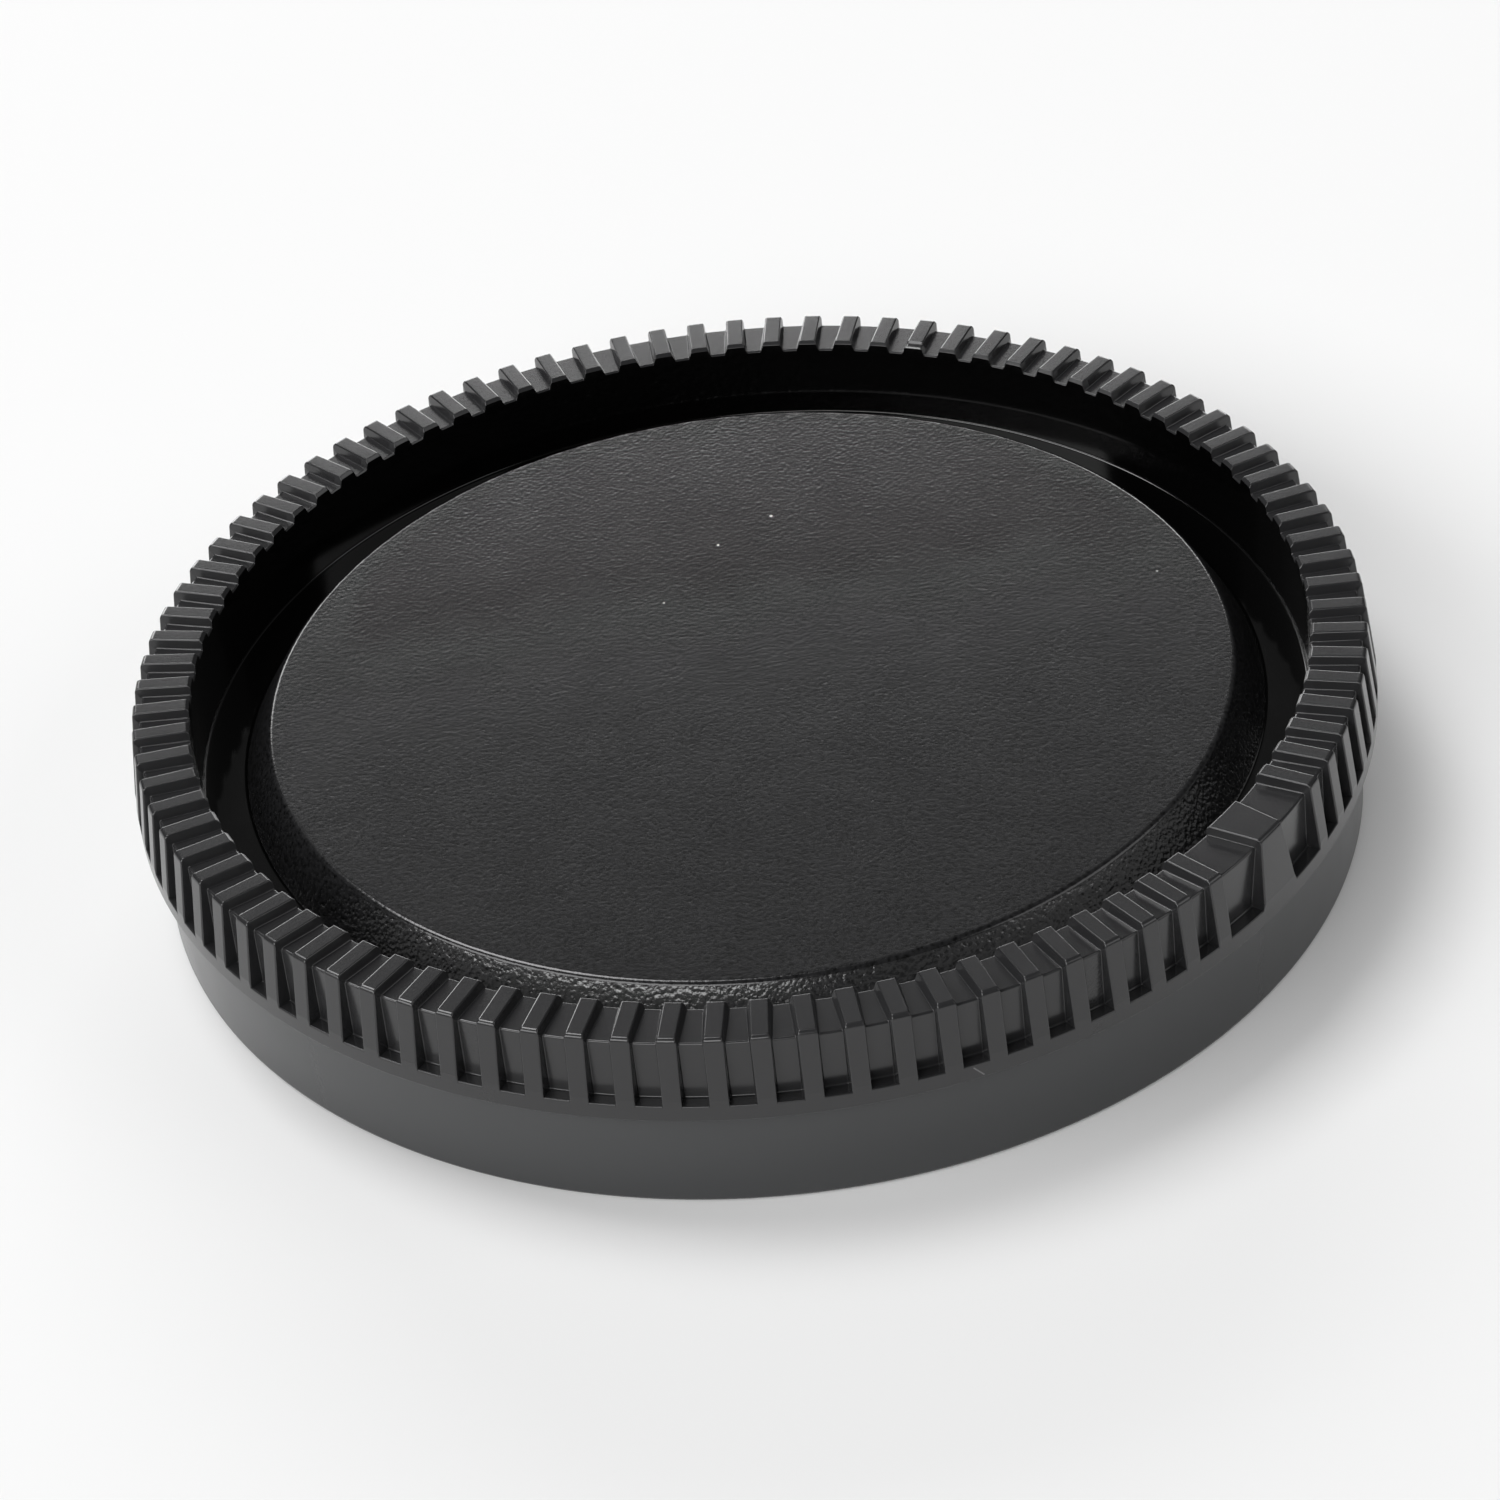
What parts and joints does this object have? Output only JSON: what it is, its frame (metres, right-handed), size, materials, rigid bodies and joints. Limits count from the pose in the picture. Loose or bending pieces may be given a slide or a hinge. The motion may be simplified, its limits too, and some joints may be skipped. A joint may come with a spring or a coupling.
{
  "type": "camera body cap",
  "caption": "Round moulded cap that covers a camera's open lens mount: ribbed grip rim with an index mark, sunken grained disc, skirt, and a bayonet underneath.",
  "frame": {"origin": "on the cap's axis, in the plane of the skirt's lower edge", "axes": "+Z along the axis, out of the camera; the index mark faces -Y"},
  "size_m": [0.062, 0.062, 0.0101],
  "materials": {
    "black_abs": "black ABS, fine leather grain on the disc and smooth satin elsewhere"
  },
  "bodies": {
    "root": {"body_cap": "black_abs"}
  },
  "joints": []
}
